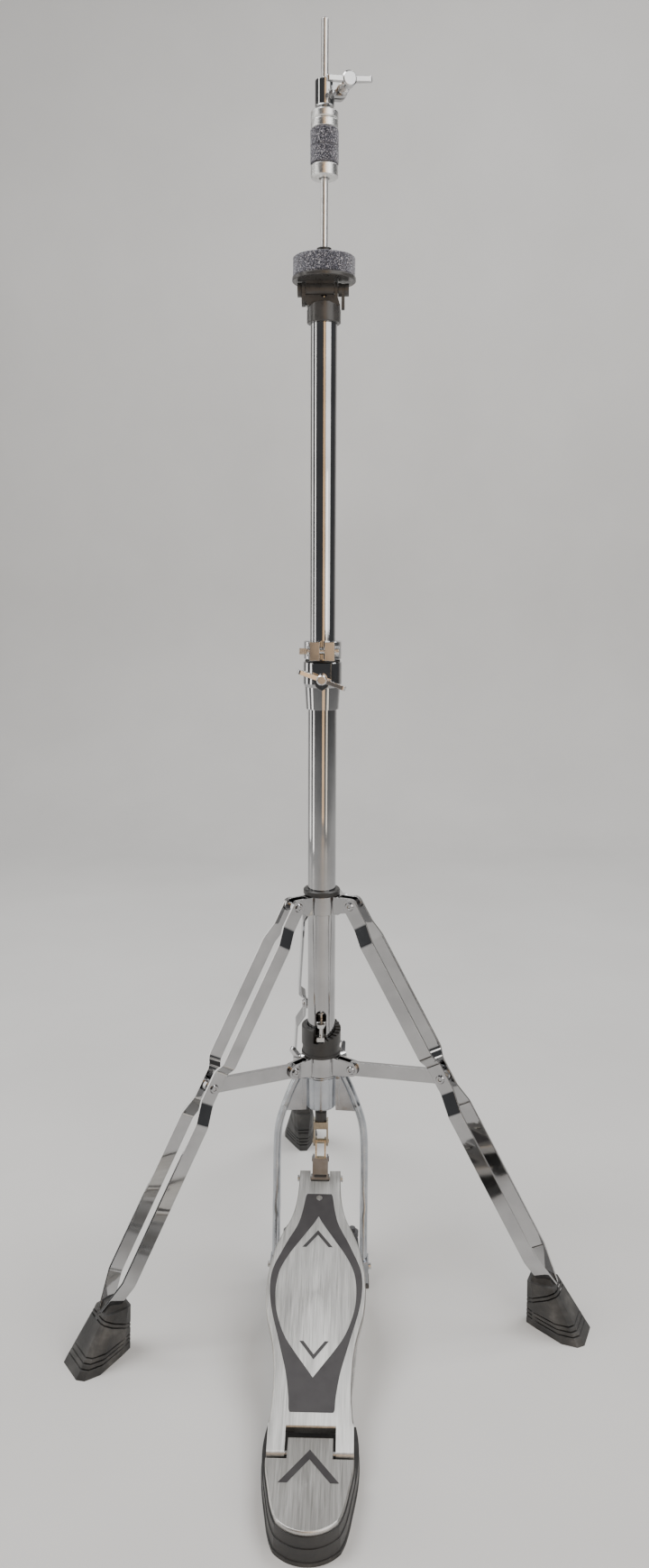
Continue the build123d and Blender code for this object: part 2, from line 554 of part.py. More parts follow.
def board_frame():
    """The footboard's own frame: X across, Y along the board from the heel pin, Z out of its face."""
    angle = math.radians(BOARD_ANGLE)
    face_normal = (0, -math.sin(angle), math.cos(angle))
    return Plane(origin=(0, HEEL_PIN_Y, HEEL_PIN_Z), x_dir=(1, 0, 0), z_dir=face_normal).location


def footboard():
    right = Spline(*[(half, reach) for reach, half in BOARD_OUTLINE])
    left = Spline(*[(-half, reach) for reach, half in BOARD_OUTLINE])
    outline = make_face(right + left + Line(right @ 0, left @ 0) + Line(right @ 1, left @ 1))
    board = extrude(outline, BOARD_HALF_T + 1, both=True)
    board = chamfer(board.faces().sort_by(Axis.Z)[-1].edges(), 0.9)
    board -= Pos(0, 140, -3.4) * Box(28, 190, 3)
    for side in (-1, 1):
        prong_w = PRONG_OUT - PRONG_IN
        prong = Plane.YZ.location * link_plate((0, 0, BOARD_HALF_T + 1), (20, 0, BOARD_HALF_T + 1), prong_w)
        board += Pos(side * (PRONG_IN + prong_w / 2), 0, 0) * prong
        board += Pos(side * 11, 132, -6.5) * Box(3, 200, 6)
    board -= Pos(0, 15.5 - 10, 0) * Box(2 * PRONG_IN, 20, 30)
    board -= Rot(0, 90, 0) * Cylinder(HEEL_PIN_D / 2 + SLIDE_GAP, 80)
    board -= Pos(0, BOARD_LENGTH, 0) * Box(18.6, 27, 30)
    board -= Pos(0, TOE_PIN_REACH, 0) * Rot(0, 90, 0) * Cylinder(CHAIN_PIN_D / 2, 60)
    board -= Pos(0, 232, 0) * Cylinder(2.75, 30)
    return board_frame() * board


def toe_pin():
    pin = Rot(0, 90, 0) * Cylinder(CHAIN_PIN_D / 2, 39.6)
    for side in (-1, 1):
        pin += Pos(side * 20.6, 0, 0) * Rot(0, 90, 0) * Cylinder(3.0, 1.6)
    return board_frame() * Pos(0, TOE_PIN_REACH, 0) * pin


# ---------------------------------------------------------------- clevis, chain and toe link
def toe_pin_point():
    angle = math.radians(BOARD_ANGLE)
    forward, up = TOE_PIN_REACH * math.cos(angle), TOE_PIN_REACH * math.sin(angle)
    return Vector(0, HEEL_PIN_Y + forward, HEEL_PIN_Z + up)


def chain_frame():
    """Origin at the clevis pin, X down the chain towards the toe pin, Z across the chain."""
    top = Vector(0, 0, CLEVIS_PIN_Z)
    return Plane(origin=top, x_dir=toe_pin_point() - top, z_dir=(1, 0, 0)).location


def chain_length():
    return (toe_pin_point() - Vector(0, 0, CLEVIS_PIN_Z)).length


def rod_clevis():
    clevis = Pos(0, 0, 146) * Box(14, 11, 7)
    for side in (-1, 1):
        ear = Plane.YZ.location * link_plate((0, CLEVIS_PIN_Z, 5.0), (0, 145, 5.0), 1.6)
        clevis += Pos(side * 6.2, 0, 0) * ear
    clevis -= cross_pin(0, CLEVIS_PIN_Z, CHAIN_PIN_D, 20)
    return clevis - bore(ROD_OD, CLEVIS_PIN_Z + 16, 160)


def clevis_pin():
    pin = cross_pin(0, CLEVIS_PIN_Z, CHAIN_PIN_D, 7.8)
    return pin + cross_pin(0, CLEVIS_PIN_Z, 5.2, 3.3)


def chain_link():
    """Two side plates between the clevis pin and the middle pin, and the middle pin, which ends inside
    the toe link's ears."""
    middle = CHAIN_SHARE * chain_length()
    solids = []
    for side in (-1, 1):
        plate = link_plate((0, 0, 4.2), (middle, 0, 4.2), 1.5)
        plate -= Cylinder(CHAIN_PIN_D / 2 + SLIDE_GAP, 4)
        plate -= Pos(middle, 0, 0) * Cylinder(CHAIN_PIN_D / 2, 4)
        solids.append(chain_frame() * Pos(0, 0, side * 4.3) * plate)
    pin = Cylinder(CHAIN_PIN_D / 2, 11.0) + Cylinder(2.7, 6.4)
    solids.append(chain_frame() * Pos(middle, 0, 0) * pin)
    return Compound(children=solids)


def toe_link():
    """The folded strap from the middle pin to the toe pin."""
    middle, total = CHAIN_SHARE * chain_length(), chain_length()
    link = Pos(middle + 6.65, -6.8, 0) * Box(14.3, 2.0, 14.6)
    for side in (-1, 1):
        ear = link_plate((middle, 0, 4.4), (total, 0, 4.4), 1.5)
        ear += Pos(middle + 7.4, -4.8, 0) * Box(12.8, 6, 1.5)
        ear += Pos(middle, 0, side * 1.2) * Cylinder(2.6, 0.9)
        link += Pos(0, 0, side * 6.55) * ear
    link += Pos(total, 0, 0) * Cylinder(4.4, 17.4)
    link -= Pos(total, 0, 0) * Cylinder(CHAIN_PIN_D / 2 + SLIDE_GAP, 30)
    return chain_frame() * link


# ---------------------------------------------------------------- seat and clutch
def tilter_base():
    """The clamp sleeve on the upper tube, with two ears that hold the tilt hinge."""
    sleeve = turned(TILTER_OD, UPPER_TUBE_OD, TILTER_LOW, TILTER_HIGH, 0.6)
    sleeve &= Pos(0, 0, TILTER_HIGH - TILTER_ARCH_R) * Rot(90, 0, 0) * Cylinder(TILTER_ARCH_R, 60)
    low_face = Pos(0, 0, UPPER_TUBE_HIGH) * Rectangle(27, 17)
    high_face = Pos(-3.4, 0, TILT_AXIS_Z - 5) * Rectangle(28.8, 13)
    yoke = loft([low_face, high_face], ruled=True)
    for x, thickness in ((-16.75, 3.1), (10.1, 2.6)):
        ear = Plane.YZ.location * link_plate((0, TILT_AXIS_Z, 7.0), (0, TILT_AXIS_Z - 6, 7.0), thickness)
        yoke += Pos(x, 0, 0) * ear
    slot_width = BARREL_LENGTH + 2 * SIDE_GAP
    yoke -= Pos(BARREL_MIDDLE_X, 0, TILT_AXIS_Z) * Rot(0, 90, 0) * Cylinder(BARREL_R + 0.5, slot_width)
    yoke -= Pos(BARREL_MIDDLE_X, 0, TILT_AXIS_Z + 8) * Box(slot_width, 30, 16)
    yoke -= Pos(0, 0, CUP_LOW - 1.2 + 5) * Box(60, 60, 10)
    stem = turned(24.6, UPPER_TUBE_OD, TILTER_LOW + 1, UPPER_TUBE_HIGH, 0.2)
    base = sleeve + yoke + stem - bore(UPPER_TUBE_OD, 860, UPPER_TUBE_HIGH)
    base -= bore(14, 870, 900)
    return base - Pos(-3, 0, TILT_AXIS_Z) * Rot(0, 90, 0) * Cylinder(TILT_PIN_D / 2 + SLIDE_GAP, 40)


def on_tilt_axis(radius, start, end):
    """A cylinder on the tilt axis between two places along X."""
    return Pos((start + end) / 2, 0, TILT_AXIS_Z) * Rot(0, 90, 0) * Cylinder(radius, end - start)


def tilter_cup():
    """The cup disc with its hinge barrel, which holds the tilt pin and lets the tilt screw turn."""
    half = BARREL_LENGTH / 2
    cup = on_tilt_axis(BARREL_R, BARREL_MIDDLE_X - half, BARREL_MIDDLE_X + half)
    cup += Pos(BARREL_MIDDLE_X, 0, TILT_AXIS_Z + 5.5) * Box(BARREL_LENGTH, 12, 7)
    cup += turned(CUP_OD, 0, CUP_LOW, CUP_HIGH, 0.5)
    cup -= bore(SEAT_SLEEVE_ID, 870, 910)
    cup -= on_tilt_axis(TILT_PIN_D / 2, -30, 0)
    return cup - on_tilt_axis(TILT_PIN_D / 2 + SLIDE_GAP, 0, 30)


def tilt_pin():
    """The headed stub in the left ear, which ends short of the rod's way."""
    return on_tilt_axis(TILT_PIN_D / 2, -20, -8.6) + on_tilt_axis(5.6, -21.8, -18.6)


def tilt_screw():
    """The clamp screw in the right ear, with a collar, a short lever and a knob."""
    screw = on_tilt_axis(TILT_PIN_D / 2, 6.5, 12)
    screw += on_tilt_axis(5.2, 11.7, 14.5) + on_tilt_axis(5.0, 17.1, 20.6)
    lever = Plane.YZ.location * link_plate((0, TILT_AXIS_Z, 4.6), (2, TILT_AXIS_Z - 13, 2.2), 2.6)
    return screw + Pos(15.8, 0, 0) * lever


def seat_sleeve():
    return turned(SEAT_SLEEVE_OD, SEAT_SLEEVE_ID, CUP_HIGH, SEAT_SLEEVE_HIGH, 0.3)


def seat_felt():
    return turned(SEAT_FELT_OD, SEAT_SLEEVE_OD + 0.4, CUP_HIGH, SEAT_FELT_HIGH, 1.6)


def clutch_sleeve():
    inner = ROD_OD + 2 * SLIDE_GAP
    return turned(CLUTCH_SLEEVE_OD, inner, CLUTCH_SLEEVE_LOW, CLUTCH_SLEEVE_HIGH, 0.4)


def ear_frame():
    """Origin on the tube axis, X out along the clutch's ears, Y across them, Z up."""
    return turn_about(CLUTCH_EAR_AZIMUTH)


def clutch_body():
    body = turned(CLUTCH_BODY_OD, CLUTCH_SLEEVE_OD, CLUTCH_BODY_LOW, CLUTCH_BODY_HIGH, 0.7)
    ears = Plane.XZ.location * link_plate((6, CLUTCH_EAR_Z, 5.5), (13.5, CLUTCH_EAR_Z, 5.2), 12.0)
    ears -= bore(CLUTCH_SLEEVE_OD, 1000, 1060)
    ears -= Pos(12, 0, CLUTCH_EAR_Z) * Box(16, 2.4, 30)
    ears -= Pos(13.5, 0, CLUTCH_EAR_Z) * Rot(90, 0, 0) * Cylinder(2.55, 30)
    split = Pos(6, 0, 1040) * Box(8, 2.4, 40)
    return ear_frame() * (body - split + ears)


def clutch_wing_bolt():
    """The long wing bolt through the clutch's ears, with a ribbed collar against them."""
    bolt = wing_bolt(37, 11.6, 6.4, 5.0, CLUTCH_BOLT_REACH + 6.8, 1.2)
    bolt += Pos(0, 0, -CLUTCH_BOLT_REACH / 2) * Cylinder(3.2, CLUTCH_BOLT_REACH - 12.6)
    for rib in range(3):
        bolt += Pos(0, 0, 7.1 + 1.9 * rib - CLUTCH_BOLT_REACH) * Cylinder(4.6, 1.2)
        bolt += Pos(0, 0, 8.0 + 1.9 * rib - CLUTCH_BOLT_REACH) * Cylinder(3.8, 1.4)
    lean = math.radians(4)
    place = (13.5, -CLUTCH_BOLT_REACH, CLUTCH_EAR_Z)
    return ear_frame() * placed(bolt, place, (0, -1, 0), (math.cos(lean), 0, math.sin(lean)))


def clutch_lock_nuts():
    inner = CLUTCH_SLEEVE_OD
    upper = turned(CLUTCH_NUT_OD, inner, 1018.8, 1025.2, 1.0)
    lower = turned(CLUTCH_NUT_OD, inner, 1012.0, 1018.4, 0.6)
    return Compound(children=[upper, lower])


def clutch_felt(low, high):
    return turned(CLUTCH_FELT_OD, CLUTCH_SLEEVE_OD, low, high, 1.0)


def clutch_bottom_nut():
    inner = CLUTCH_SLEEVE_OD + 2 * SLIDE_GAP
    return turned(CLUTCH_NUT_OD, inner, 976.0, 986.0, 1.0)


# ---------------------------------------------------------------- all nodes
def build_nodes():
    nodes = {
        "pedal_frame": pedal_frame(),
        "frame_feet": frame_feet(),
        "frame_screws": frame_screws(),
        "spur_brackets": spur_brackets(),
        "spur_left": spur(-1),
        "spur_right": spur(1),
        "radius_rods": radius_rods(),
        "neck_washer": turned(NECK_OD + 1.6, LOWER_TUBE_OD, NECK_HIGH, NECK_HIGH + 2, 0.5),
        "lower_tube": lower_tube(),
        "height_collar": height_collar(),
        "collar_bushing": collar_bushing(),
        "height_wing_bolt": height_wing_bolt(),
        "heel_rubber": heel_rubber(),
        "heel_base": heel_base(),
        "heel_plate": heel_plate(),
        "heel_hinge_pin": heel_hinge_pin(),
        "footboard": footboard(),
        "toe_pin": toe_pin(),
        "toe_link": toe_link(),
        "chain_link": chain_link(),
        "clevis_pin": clevis_pin(),
        "rod_clevis": rod_clevis(),
        "rod_end": rod_end(),
        "lower_rod": lower_rod(),
        "rod_coupling": rod_coupling(),
        "upper_rod": upper_rod(),
        "return_spring": return_spring(),
        "spring_seat": spring_seat(),
        "tension_ring": tension_ring(),
        "spider": spider(),
        "spider_rivets": spider_rivets(),
        "spider_wing_bolt_right": radial_wing_bolt(SPIDER_CLAMPS[0], (SPIDER_LOW + SPIDER_HIGH) / 2, 28, 75),
        "spider_wing_bolt_left": radial_wing_bolt(SPIDER_CLAMPS[1], (SPIDER_LOW + SPIDER_HIGH) / 2, 28, 60),
        "leg_collar": leg_collar(),
        "leg_collar_ring": leg_collar_ring(),
        "leg_collar_wing_bolt": radial_wing_bolt(LEG_COLLAR_CLAMPS[0], (LEG_COLLAR_LOW + LEG_COLLAR_HIGH) / 2,
                                                 34, 15),
        "upper_tube": upper_tube(),
        "memory_lock": memory_lock(),
        "memory_lock_bolt": memory_lock_bolt(),
        "tilter_base": tilter_base(),
        "tilter_cup": tilter_cup(),
        "tilt_pin": tilt_pin(),
        "tilt_screw": tilt_screw(),
        "seat_sleeve": seat_sleeve(),
        "seat_felt": seat_felt(),
        "clutch_body": clutch_body(),
        "clutch_sleeve": clutch_sleeve(),
        "clutch_wing_bolt": clutch_wing_bolt(),
        "clutch_lock_nuts": clutch_lock_nuts(),
        "clutch_felts": Compound(children=[clutch_felt(999.2, 1011.8), clutch_felt(986.3, 999.0)]),
        "clutch_bottom_nut": clutch_bottom_nut(),
    }
    for name, azimuth in LEG_AZIMUTHS.items():
        # The rear, left and right legs share one design.
        leg_solids = [*leg_strips(azimuth).solids(), *leg_rivets(azimuth).solids()]
        nodes["leg_" + name] = Compound(children=leg_solids)
        nodes["foot_" + name] = leg_foot(azimuth)
        nodes["stay_" + name] = stay(azimuth)
    return nodes


def whole_box(nodes):
    boxes = [shape.bounding_box() for shape in nodes.values()]
    low = [min(getattr(box.min, axis) for box in boxes) for axis in "XYZ"]
    high = [max(getattr(box.max, axis) for box in boxes) for axis in "XYZ"]
    return low, high


def origin_shift(nodes):
    """The move that puts the bottom centre of the whole box at the origin."""
    low, high = whole_box(nodes)
    return -(low[0] + high[0]) / 2, -(low[1] + high[1]) / 2, -low[2]


NODES = build_nodes()
SHIFT = origin_shift(NODES)
os.makedirs("parts", exist_ok=True)
for node_name, node_shape in NODES.items():
    export_step(Pos(*SHIFT) * node_shape, "parts/" + node_name + ".step")
print("moved by", [round(value, 3) for value in SHIFT])
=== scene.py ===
"""Looks of a hi-hat stand: finishes, felts, printed panels, floor, light and camera."""
import math
import random

import bmesh
import bpy
from mathutils import Matrix, Vector, noise


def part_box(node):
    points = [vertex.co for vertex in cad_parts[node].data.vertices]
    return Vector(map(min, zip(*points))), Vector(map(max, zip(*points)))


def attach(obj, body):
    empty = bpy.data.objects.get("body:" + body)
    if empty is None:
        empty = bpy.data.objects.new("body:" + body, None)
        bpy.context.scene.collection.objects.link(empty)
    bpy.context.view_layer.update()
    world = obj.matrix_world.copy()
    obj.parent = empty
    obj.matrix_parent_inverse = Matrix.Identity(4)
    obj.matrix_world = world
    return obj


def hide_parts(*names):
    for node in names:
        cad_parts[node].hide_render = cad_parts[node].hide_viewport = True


MM = 0.001
BOARD_SLOPE = math.radians(16.9)
PRINT_LIFT = 0.12 * MM        # a printed layer's height above the metal
# How deep the bumps of each kind of surface are.
LINE_DEPTH, GRAIN_DEPTH = 0.1 * MM, 0.3 * MM
CAST_DEPTH, RUBBER_DEPTH, WOOL_DEPTH = 0.6 * MM, 0.8 * MM, 1.2 * MM

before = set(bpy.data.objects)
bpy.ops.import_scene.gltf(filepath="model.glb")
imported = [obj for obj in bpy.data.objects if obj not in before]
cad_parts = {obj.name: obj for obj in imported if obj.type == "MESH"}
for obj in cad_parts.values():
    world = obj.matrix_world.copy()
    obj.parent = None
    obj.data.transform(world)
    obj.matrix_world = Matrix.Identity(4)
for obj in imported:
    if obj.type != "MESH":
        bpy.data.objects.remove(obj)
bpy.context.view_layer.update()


def middle(node):
    low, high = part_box(node)
    return (low + high) / 2


TUBE_X, TUBE_Y = middle("lower_tube").x, middle("lower_tube").y


# ---------------------------------------------------------------- building node materials
def add_node(tree, kind, **values):
    """A shader node with its properties and input values set."""
    node = tree.nodes.new("ShaderNode" + kind)
    for name, value in values.items():
        if name in node.inputs:
            node.inputs[name].default_value = value
        else:
            setattr(node, name, value)
    return node


def metal_or_plastic(name, roughness, **sockets):
    """A principled material. Returns the material, its tree and its principled node."""
    material = bpy.data.materials.new(name)
    material.use_nodes = True
    tree = material.node_tree
    surface = tree.nodes["Principled BSDF"]
    surface.inputs["Roughness"].default_value = roughness
    for socket, value in sockets.items():
        surface.inputs[socket.replace("_", " ")].default_value = value
    return material, tree, surface


def place_texture(tree, stretch=(1, 1, 1), turn=(0, 0, 0)):
    """Object coordinates in axes that are turned, then stretched."""
    coordinates = add_node(tree, "TexCoord")
    mapping = add_node(tree, "Mapping", vector_type="TEXTURE")
    mapping.inputs["Rotation"].default_value = turn
    mapping.inputs["Scale"].default_value = [1 / share for share in stretch]
    tree.links.new(coordinates.outputs["Object"], mapping.inputs["Vector"])
    return mapping.outputs["Vector"]


def noise_field(tree, scale, detail=3.0, stretch=(1, 1, 1), turn=(0, 0, 0)):
    """Noise over the object, scale in waves to a metre."""
    field = add_node(tree, "TexNoise", Scale=scale, Detail=detail, Roughness=0.55)
    tree.links.new(place_texture(tree, stretch, turn), field.inputs["Vector"])
    return field.outputs["Fac"]


def ramp(tree, value, stops):
    """A value turned into colours at the given stops."""
    node = add_node(tree, "ValToRGB")
    elements = node.color_ramp.elements
    while len(elements) < len(stops):
        elements.new(0.5)
    for element, (position, colour) in zip(elements, stops):
        element.position = position
        element.color = (*colour, 1.0)
    tree.links.new(value, node.inputs["Fac"])
    return node.outputs["Color"]


def spread(tree, value, low, high, start=0.35, end=0.65):
    """A value's middle part stretched to run from low to high."""
    node = add_node(tree, "MapRange")
    for socket, number in (("From Min", start), ("From Max", end), ("To Min", low), ("To Max", high)):
        node.inputs[socket].default_value = number
    tree.links.new(value, node.inputs["Value"])
    return node.outputs["Result"]


def bumps(tree, surface, height, strength, distance, below=None):
    """Relief on a surface. below is an earlier relief that this one adds to."""
    node = add_node(tree, "Bump", Strength=strength, Distance=distance)
    tree.links.new(height, node.inputs["Height"])
    if below is not None:
        tree.links.new(below, node.inputs["Normal"])
    tree.links.new(node.outputs["Normal"], surface.inputs["Normal"])
    return node.outputs["Normal"]


def calculate(tree, operation, first, second=0.0):
    """One arithmetic step between outputs or plain numbers."""
    node = add_node(tree, "Math", operation=operation)
    for socket, value in zip(node.inputs, (first, second)):
        if isinstance(value, (int, float)):
            socket.default_value = value
        else:
            tree.links.new(value, socket)
    return node.outputs["Value"]


def blend(tree, first, second, share):
    """A weighted sum of two values, share of it from the first."""
    parts = [calculate(tree, "MULTIPLY", first, share), calculate(tree, "MULTIPLY", second, 1 - share)]
    return calculate(tree, "ADD", *parts)


def rounded(tree, radius):
    """Sharp edges that catch the light as if they were rounded, by a radius in millimetres."""
    return add_node(tree, "Bevel", samples=4, Radius=radius * MM).outputs["Normal"]


# ---------------------------------------------------------------- the finishes
def chrome(name, dark, light, low, high, edge=0.45):
    """Mirror plating with faint smudges."""
    material, tree, surface = metal_or_plastic(name, 0.05, Metallic=1.0)
    smudges = noise_field(tree, 26, 4)
    tree.links.new(ramp(tree, smudges, [(0.35, dark), (0.65, light)]), surface.inputs["Base Color"])
    tree.links.new(spread(tree, smudges, low, high), surface.inputs["Roughness"])
    bumps(tree, surface, noise_field(tree, 700, 2), 0.02, 2 * LINE_DEPTH, rounded(tree, edge))
    return material


def drawn_steel(name, dark, light, low, high, stretch=(1, 1, 0.04), turn=(0, 0, 0)):
    """Zinc plated or drawn metal with fine lines along its stretched direction."""
    material, tree, surface = metal_or_plastic(name, 0.3, Metallic=1.0)
    lines = noise_field(tree, 2600, 3, stretch, turn)
    clouds = noise_field(tree, 45, 4)
    mixed = blend(tree, lines, clouds, 0.6)
    tree.links.new(ramp(tree, mixed, [(0.36, dark), (0.64, light)]), surface.inputs["Base Color"])
    tree.links.new(spread(tree, mixed, low, high), surface.inputs["Roughness"])
    bumps(tree, surface, lines, 0.12, LINE_DEPTH, rounded(tree, 0.35))
    return material


def cast_aluminium():
    """Tumbled cast aluminium: shiny, slightly blue and a little uneven."""
    material, tree, surface = metal_or_plastic("cast_aluminium", 0.25, Metallic=1.0)
    clouds = noise_field(tree, 75, 5)
    tree.links.new(ramp(tree, clouds, [(0.3, (0.38, 0.40, 0.43)), (0.7, (0.52, 0.54, 0.57))]),
                   surface.inputs["Base Color"])
    tree.links.new(spread(tree, clouds, 0.15, 0.26), surface.inputs["Roughness"])
    bumps(tree, surface, noise_field(tree, 420, 3), 0.07, CAST_DEPTH, rounded(tree, 0.8))
    return material


def plastic(name, dark, light, low, high, grain=1500, relief=0.12, metallic=0.0):
    """Moulded plastic, paint or print: two near tones, an uneven sheen and a fine grain."""
    material, tree, surface = metal_or_plastic(name, 0.4, Metallic=metallic)
    clouds = noise_field(tree, 90, 4)
    tree.links.new(ramp(tree, clouds, [(0.3, dark), (0.7, light)]), surface.inputs["Base Color"])
    tree.links.new(spread(tree, clouds, low, high), surface.inputs["Roughness"])
    bumps(tree, surface, noise_field(tree, grain, 2), relief, GRAIN_DEPTH, rounded(tree, 0.4))
    return material


def rubber():
    """Black rubber with pale scuffs."""
    material, tree, surface = metal_or_plastic("black_rubber", 0.6)
    clouds = noise_field(tree, 55, 6)
    tree.links.new(ramp(tree, clouds, [(0.38, (0.022, 0.022, 0.022)), (0.56, (0.050, 0.049, 0.048)),
                                       (0.74, (0.105, 0.102, 0.098))]), surface.inputs["Base Color"])
    tree.links.new(spread(tree, clouds, 0.48, 0.72), surface.inputs["Roughness"])
    bumps(tree, surface, noise_field(tree, 420, 5), 0.35, RUBBER_DEPTH, rounded(tree, 0.6))
    return material


def felt():
    """Dark grey-blue wool flecked with white fibres."""
    material, tree, surface = metal_or_plastic("grey_felt", 0.95)
    surface.inputs["Sheen Weight"].default_value = 0.35
    surface.inputs["Sheen Roughness"].default_value = 0.6
    surface.inputs["Specular IOR Level"].default_value = 0.2
    flecks = noise_field(tree, 1150, 6)
    colours = [(0.38, (0.010, 0.011, 0.018)), (0.48, (0.045, 0.048, 0.070)), (0.56, (0.15, 0.155, 0.20)),
               (0.66, (0.66, 0.66, 0.70))]
    tree.links.new(ramp(tree, flecks, colours), surface.inputs["Base Color"])
    bumps(tree, surface, noise_field(tree, 1100, 5), 0.8, WOOL_DEPTH)
    return material


def brushed_plate(name, slope):
    """Aluminium brushed along a plate that rises forwards, in long fine streaks."""
    material, tree, surface = metal_or_plastic(name, 0.35, Metallic=1.0)
    surface.inputs["Anisotropic"].default_value = 0.35
    turn = (slope, 0, 0)
    streaks = noise_field(tree, 2400, 5, (1, 0.016, 1), turn)
    broad = noise_field(tree, 700, 3, (1, 0.025, 1), turn)
    mixed = blend(tree, streaks, broad, 0.6)
    tree.links.new(ramp(tree, mixed, [(0.34, (0.42, 0.415, 0.40)), (0.66, (0.66, 0.65, 0.63))]),
                   surface.inputs["Base Color"])
    tree.links.new(spread(tree, mixed, 0.30, 0.46), surface.inputs["Roughness"])
    bumps(tree, surface, streaks, 0.25, LINE_DEPTH, rounded(tree, 0.6))
    return material


def knurled(name, axis_x, axis_y, teeth, low_z, pitch):
    """Bright metal with straight knurling round an upright axis."""
    material, tree, surface = metal_or_plastic(name, 0.22, Metallic=1.0)
    split = add_node(tree, "SeparateXYZ")
    tree.links.new(place_texture(tree), split.inputs["Vector"])
    across = calculate(tree, "SUBTRACT", split.outputs["Y"], axis_y)
    along = calculate(tree, "SUBTRACT", split.outputs["X"], axis_x)
    turn = calculate(tree, "ARCTAN2", across, along)
    above = calculate(tree, "SUBTRACT", split.outputs["Z"], low_z)
    rows = calculate(tree, "MULTIPLY", above, 2 * math.pi / pitch)
    waves = [calculate(tree, "SINE", calculate(tree, kind, calculate(tree, "MULTIPLY", turn, teeth), rows))
             for kind in ("ADD", "SUBTRACT")]
    height = calculate(tree, "MAXIMUM", *waves)
    clouds = noise_field(tree, 120, 3)
    tree.links.new(ramp(tree, clouds, [(0.3, (0.78, 0.78, 0.77)), (0.7, (0.88, 0.88, 0.87))]),
                   surface.inputs["Base Color"])
    tree.links.new(spread(tree, clouds, 0.24, 0.34), surface.inputs["Roughness"])
    bumps(tree, surface, height, 0.15, GRAIN_DEPTH, rounded(tree, 0.4))
    return material


FINISHES = {
    "chrome": chrome("chrome", (0.38, 0.38, 0.385), (0.46, 0.46, 0.465), 0.02, 0.07),
    "cast_chrome": chrome("cast_chrome", (0.56, 0.56, 0.565), (0.68, 0.68, 0.685), 0.14, 0.26, edge=0.7),
    "bright_nut": knurled("bright_nut", TUBE_X, TUBE_Y, 60, middle("clutch_lock_nuts").z, 0.9 * MM),
    "bright_rod": drawn_steel("bright_rod", (0.72, 0.72, 0.72), (0.84, 0.84, 0.84), 0.24, 0.34),
    "zinc": drawn_steel("zinc_steel", (0.50, 0.50, 0.50), (0.70, 0.70, 0.69), 0.18, 0.34),
    "chain": drawn_steel("golden_steel", (0.48, 0.44, 0.36), (0.68, 0.63, 0.52), 0.16, 0.32),
    "cast": cast_aluminium(),
    "board": brushed_plate("brushed_board", BOARD_SLOPE),
    "heel": brushed_plate("brushed_heel", 0.0),
    "satin_black": plastic("satin_black", (0.045, 0.044, 0.044), (0.070, 0.068, 0.067), 0.24, 0.34,
                           relief=0.06),
    "black_plastic": plastic("black_plastic", (0.020, 0.020, 0.021), (0.040, 0.039, 0.038), 0.34, 0.48),
    "dark_metal": plastic("dark_metal", (0.07, 0.07, 0.075), (0.13, 0.13, 0.135), 0.34, 0.50, metallic=0.6),
    "link": plastic("grey_link", (0.18, 0.18, 0.185), (0.26, 0.26, 0.265), 0.30, 0.42, metallic=0.8),
    "print": plastic("printed_grey", (0.024, 0.021, 0.023), (0.036, 0.033, 0.035), 0.42, 0.56, grain=2400),
    "rubber": rubber(),
    "felt": felt(),
}
# The finish of each node that isn't plain chrome.
NODE_FINISH = {
    "pedal_frame": "cast", "frame_feet": "rubber", "frame_screws": "zinc", "spur_brackets": "dark_metal",
    "spur_left": "dark_metal", "spur_right": "dark_metal", "radius_rods": "zinc", "neck_washer": "chrome",
    "collar_bushing": "black_plastic", "heel_rubber": "rubber", "heel_base": "black_plastic",
    "heel_plate": "heel", "heel_hinge_pin": "zinc", "footboard": "board", "toe_pin": "zinc",
    "toe_link": "link", "chain_link": "chain", "clevis_pin": "chain", "rod_clevis": "chain",
    "clutch_lock_nuts": "bright_nut", "clutch_bottom_nut": "bright_nut", "memory_lock": "cast_chrome",
    "height_wing_bolt": "cast_chrome", "clutch_wing_bolt": "cast_chrome",
    "leg_collar_wing_bolt": "cast_chrome", "spider_wing_bolt_left": "cast_chrome",
    "spider_wing_bolt_right": "cast_chrome",
    "rod_end": "black_plastic", "lower_rod": "bright_rod", "rod_coupling": "zinc", "upper_rod": "bright_rod",
    "return_spring": "zinc", "spring_seat": "zinc", "tension_ring": "black_plastic",
    "leg_collar_ring": "black_plastic", "memory_lock_bolt": "zinc", "tilter_base": "satin_black",
    "tilter_cup": "satin_black", "tilt_pin": "satin_black", "tilt_screw": "satin_black",
    "seat_sleeve": "black_plastic", "seat_felt": "felt", "clutch_felts": "felt",
    "foot_rear": "rubber", "foot_left": "rubber", "foot_right": "rubber",
}


def finish_nodes():
    """Gives every node its finish."""
    for name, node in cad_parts.items():
        node.data.materials.clear()
        node.data.materials.append(FINISHES[NODE_FINISH.get(name, "chrome")])


def object_from(mesh, name, finish):
    """An object in the scene from an edited mesh, with one finish."""
    bmesh.ops.recalc_face_normals(mesh, faces=mesh.faces)
    data = bpy.data.meshes.new(name)
    mesh.to_mesh(data)
    mesh.free()
    data.materials.append(FINISHES[finish])
    piece = bpy.data.objects.new(name, data)
    bpy.context.scene.collection.objects.link(piece)
    return piece


# ---------------------------------------------------------------- felts
FELT_STEPS, FELT_ROWS, FELT_RINGS, FELT_BORE_ROWS = 220, 26, 10, 5
FELT_CORNER = 0.6 * MM
FELT_GAP = 0.1 * MM
SEAT_FELT_HOLE_R, CLUTCH_FELT_HOLE_R = 6.2 * MM, 4.6 * MM
WOOL_BUMPS = ((900, 0.22 * MM), (260, 0.20 * MM))      # waves to a metre, and their height
WOOL_TRIM = 0.15 * MM         # keeps the bumps inside the felt's own size


